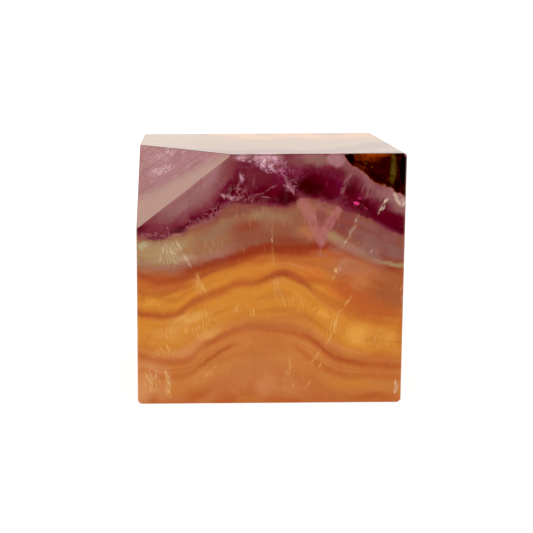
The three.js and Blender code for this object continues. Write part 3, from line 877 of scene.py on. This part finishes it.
def makeBands(bench, at, grains):
    # the run of bands from the foot to the purple line, with their stains, seams and streaks
    count = len(growthLines)
    stops = [(position / count, palette[name]) for position, name in bandStops]
    colour = bench.ramp(bench.maths("DIVIDE", at["band"], count), stops)
    colour = addBodies(bench, colour, at["bodies"], stains, reaches["stains"])
    colour = bench.blend(step(bench, grains["laminae"], "darkLaminae"), colour, palette["russet"])
    warmth = step(bench, at["band"], "belowTan")
    calm = step(bench, at["band"], "calmAbove")
    lighter = bench.product(step(bench, grains["laminae"], "lightLaminae"), warmth)
    colour = bench.blend(lighter, colour, palette["peach"])
    colour = addSeams(bench, colour, at)
    darker = bench.product(step(bench, grains["mottles"], "darkMottles"), calm)
    colour = bench.blend(darker, colour, palette["rust"])
    darker = bench.product(step(bench, grains["streaks"], "darkStreaks"), calm)
    colour = bench.blend(darker, colour, palette["rust"])
    colour = bench.blend(step(bench, grains["streaks"], "lightStreaks"), colour, palette["peach"])
    specks = bench.product(step(bench, grains["flecks"], "lightFlecks"), warmth)
    colour = bench.blend(specks, colour, palette["straw"])
    broken = step(bench, grains["flecks"], "clusterStreaks")
    return addBodies(bench, colour, at["bodies"], streakClusters, reaches["streakClusters"], broken)


def addVeil(bench, colour, at, grains):
    # a pink veil in the shape of a V that hangs from the purple line, with arms that widen upwards
    aside = bench.maths("SUBTRACT", at["across"], veil["middle"])
    shares = []
    for foot, leftSlope, rightSlope in (veil["outer"], veil["inner"]):
        height = bench.maths("SUBTRACT", at["up"], foot)
        left = bench.maths("MULTIPLY_ADD", height, leftSlope, aside)
        right = bench.maths("SUBTRACT", bench.product(height, rightSlope), aside)
        shares.append(step(bench, bench.maths("MINIMUM", left, right), "veilSides"))
    share = bench.maths("MULTIPLY_ADD", shares[1], -veil["innerShare"], shares[0])
    share = bench.product(share, step(bench, at["back"], "veilDepth"))
    share = bench.product(share, step(bench, grains["flecks"], "veilStreaks"))
    return bench.blend(share, colour, palette["pink"])


def addPurpleZone(bench, colour, at, grains):
    # the purple zone and the mauve above it, with a pale crust along its foot
    above = bench.maths("SUBTRACT", at["up"], at["levels"]["purple"])
    last = purpleStops[-1][0]
    thickness = bench.curve(at["acrossShare"], purpleThickness, block["size"], flow["thickest"])
    purplePlace = bench.maths("DIVIDE", above, bench.product(thickness, last))
    purple = bench.ramp(purplePlace, [(position / last, palette[name]) for position, name in purpleStops])
    purple = addBodies(bench, purple, at["bodies"], purpleBodies, reaches["purpleBodies"])
    purple = bench.blend(step(bench, grains["mottles"], "purpleMottles"), purple, palette["mauve"])
    purple = bench.blend(step(bench, grains["streaks"], "purpleStreaks"), purple, palette["blood"])
    colour = bench.blend(step(bench, above, "purpleFoot"), colour, purple)
    crust = bench.product(step(bench, above, "crustFoot"), step(bench, above, "crustTop"))
    crust = bench.product(crust, step(bench, grains["speckles"], "crustSpeckles"))
    crust = bench.product(crust, bench.curve(at["acrossShare"], crustStrength, block["size"], 1))
    return bench.blend(crust, colour, palette["mauve"])


def addFineBodies(bench, colour, at, grains):
    # threads, sparkles and feathers, then the dark bodies over them
    knots = bench.noise(at["frayed"], *noises["knots"])
    threads = bench.maths("ABSOLUTE", bench.maths("SUBTRACT", knots, 0.5))
    threads = step(bench, threads, "threads")
    colour = addBodies(bench, colour, at["bodies"], tangles, reaches["tangles"], threads)
    shine = step(bench, grains["speckles"], "sparkles")
    colour = addBodies(bench, colour, at["bodies"], sparkles, reaches["sparkles"], shine)
    leaning = bench.combined(
        bench.maths("MULTIPLY_ADD", at["up"], flow["strokeLean"], at["across"]),
        bench.product(at["back"], flow["strokeBack"]),
        bench.product(at["up"], flow["strokeUp"]),
    )
    strokes = step(bench, bench.noise(leaning, *noises["strokes"]), "strokes")
    colour = addBodies(bench, colour, at["bodies"], feathers, reaches["feathers"], strokes)
    colour = addBodies(bench, colour, at["bodies"], wineBodies, reaches["wineBodies"])
    return addBodies(bench, colour, at["folded"], brightSpots, reaches["brightSpots"])


def addStainedReflection(bench, colour, at, grains):
    # the dark upper right corner, iron stain seen through clear stone under a painted dark reflection, whose
    # edge climbs towards the back
    edge = stoneCurve(bench, at["acrossShare"], stainedReflectionEdge)
    edge = bench.maths("MULTIPLY_ADD", at["back"], stainedReflectionClimb, edge)
    inside = bench.maths("SUBTRACT", at["up"], edge)
    ember = step(bench, grains["speckles"], "emberSpeckles")
    dark = bench.blend(ember, palette["maroon"], palette["ember"])
    dark = addBodies(bench, dark, at["folded"], stainedReflectionBodies, reaches["stainedReflectionBodies"])
    dark = bench.blend(step(bench, grains["speckles"], "pitchSpeckles"), dark, palette["pitch"])
    dark = bench.blend(step(bench, inside, "emberRim"), dark, palette["ember"])
    share = step(bench, inside, "stainedReflectionFoot")
    share = bench.product(share, step(bench, at["acrossShare"], "stainedReflectionSide"))
    return bench.blend(share, colour, dark)


def facetCorners():
    return [Vector(block[name]) for name in ("facetFoot", "facetRight", "facetBack")]


def addFacetPaintedLight(bench, colour, at):
    # painted light from within: the facet is painted pale over the mauve stone, most of all in a beige band
    # along its lower edge that stands in for light reflected inside the stone, with streaks along that edge
    foot, right, back = facetCorners()
    alongEdge = (right - foot).normalized()
    normal = (right - foot).cross(back - foot).normalized()
    inward = normal.cross(alongEdge).normalized()
    if inward.dot(back - foot) < 0:
        inward = -inward
    offset = bench.vector("SUBTRACT", at["own"], tuple(foot))
    fromEdge = bench.distanceAlong(offset, inward)
    along = bench.distanceAlong(offset, alongEdge)
    streakPlace = bench.combined(
        bench.product(along, facetPaintedLight["streakAlong"]),
        bench.maths("MULTIPLY_ADD", along, facetPaintedLight["streakLean"], fromEdge),
        0.0,
    )
    streaks = bench.noise(streakPlace, *noises["facetStreaks"])
    mottles = bench.noise(at["own"], *noises["facetMottles"])
    paleness = step(bench, bench.maths("MULTIPLY_ADD", along, facetPaintedLight["paleLean"], fromEdge), "facetPale")
    tint = bench.blend(step(bench, streaks, "facetPink"), palette["facetMauve"], palette["facetPink"])
    tint = bench.blend(step(bench, mottles, "facetMottles"), tint, palette["facetPale"])
    tint = bench.blend(paleness, tint, palette["beige"])
    tint = bench.blend(step(bench, streaks, "facetStreaks"), tint, palette["facetMauve"])
    grains = step(bench, bench.noise(at["own"], *noises["facetGrains"]), "facetGrains")
    grains = bench.product(grains, step(bench, mottles, "grainAreas"))
    tint = addBodies(bench, tint, at["own"], facetFlecks, reaches["facetFlecks"], grains)
    share = bench.product(faceShare(bench, "facet"), facetPaintedLight["strength"])
    return bench.blend(share, colour, tint)


def makeStoneMaterial():
    material = bpy.data.materials.new("bandedFluorite")
    material.use_nodes = True
    tree = material.node_tree
    bench = Bench(tree)
    at = layOut(bench)
    grains = makeGrains(bench, at)

    colour = makeBands(bench, at, grains)
    colour = addVeil(bench, colour, at, grains)
    colour = addPurpleZone(bench, colour, at, grains)
    colour = addFineBodies(bench, colour, at, grains)
    broken = step(bench, grains["speckles"], "brokenCracks")
    for name, (reach, paths) in cracks.items():
        colour = addCracks(bench, colour, at["folded"], paths, name, reach, broken)
    colour = addStainedReflection(bench, colour, at, grains)
    colour = addFacetPaintedLight(bench, colour, at)

    # the rubbed edges are paler and less shiny, and the flats beside the facet and along the top's front edge
    # get painted shade, darkened towards the purple of the stone beside them
    rubbed = faceShare(bench, "rubbedEdge")
    colour = bench.blend(bench.product(rubbed, skin["rubbedTint"]), colour, palette["bone"])
    for name in ("topBevel", "facetArris"):
        share = bench.product(faceShare(bench, name), skin[name + "Tint"])
        colour = bench.blend(share, colour, palette["purple"])
    surface = tree.nodes["Principled BSDF"]
    bench.feed(surface.inputs["Base Color"], colour)
    roughness = bench.between(rubbed, 0.0, 1.0, skin["roughness"], skin["edgeRoughness"])
    bench.feed(surface.inputs["Roughness"], roughness)
    surface.inputs["IOR"].default_value = skin["ior"]
    surface.inputs["Specular IOR Level"].default_value = skin["gloss"]
    surface.inputs["Transmission Weight"].default_value = skin["transmission"]
    print("stone material:", len(tree.nodes), "nodes")
    return material


def markFaces(work):
    # tells the material which faces are the facet, rubbed edges, the top's front flat and the facet's flats
    foot, right, back = facetCorners()
    facetNormal = (back - foot).cross(right - foot).normalized()
    layers = {}
    for name in ("facet", "rubbedEdge", "topBevel", "facetArris"):
        layers[name] = work.faces.layers.float.new(name)
    for face in work.faces:
        face.smooth = True
        normal = face.normal
        towardsFacet = abs(normal.dot(facetNormal))
        towardsFlat = max(abs(value) for value in normal)
        nearFacet = towardsFacet > skin["nearFacet"]
        straight = abs(normal.x) < skin["straight"]
        rubbed = min((1 - max(towardsFacet, towardsFlat)) / skin["fullyRubbed"], 1.0)
        leaning = normal.y < -skin["leaning"] and normal.z > skin["leaning"]
        besideTop = nearFacet and towardsFacet < skin["besideFacet"] and normal.z > skin["besideTop"]
        face[layers["facet"]] = 1.0 if towardsFacet > skin["onFacet"] else 0.0
        face[layers["rubbedEdge"]] = rubbed * (skin["nearFacetRubbed"] if nearFacet else 1.0)
        face[layers["topBevel"]] = 1.0 if straight and leaning else 0.0
        face[layers["facetArris"]] = 1.0 if not straight and besideTop else 0.0


def makeStone():
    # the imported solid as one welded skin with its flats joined, so that light runs evenly over it
    mesh = frame["nodes"]["fluorite_cube"].data.copy()
    mesh.name = "polishedStone"
    mesh.materials.clear()
    if "custom_normal" in mesh.attributes:
        mesh.attributes.remove(mesh.attributes["custom_normal"])
    stone = bpy.data.objects.new("polishedStone", mesh)
    scene.collection.objects.link(stone)
    work = bmesh.new()
    work.from_mesh(mesh)
    bmesh.ops.remove_doubles(work, verts=work.verts, dist=skin["weld"])
    flatAngle = math.radians(skin["flatAngle"])
    bmesh.ops.dissolve_limit(work, angle_limit=flatAngle, verts=work.verts, edges=work.edges)
    markFaces(work)
    work.to_mesh(mesh)
    work.free()
    mesh.set_sharp_from_angle(angle=math.radians(skin["sharpAngle"]))
    weighted = stone.modifiers.new("even normals", "WEIGHTED_NORMAL")
    weighted.keep_sharp = True
    weighted.weight = 100  # the largest faces decide
    mesh.materials.append(makeStoneMaterial())
    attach(stone, "root")
    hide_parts("fluorite_cube")
    print("stone:", len(mesh.polygons), "faces")


makeStone()
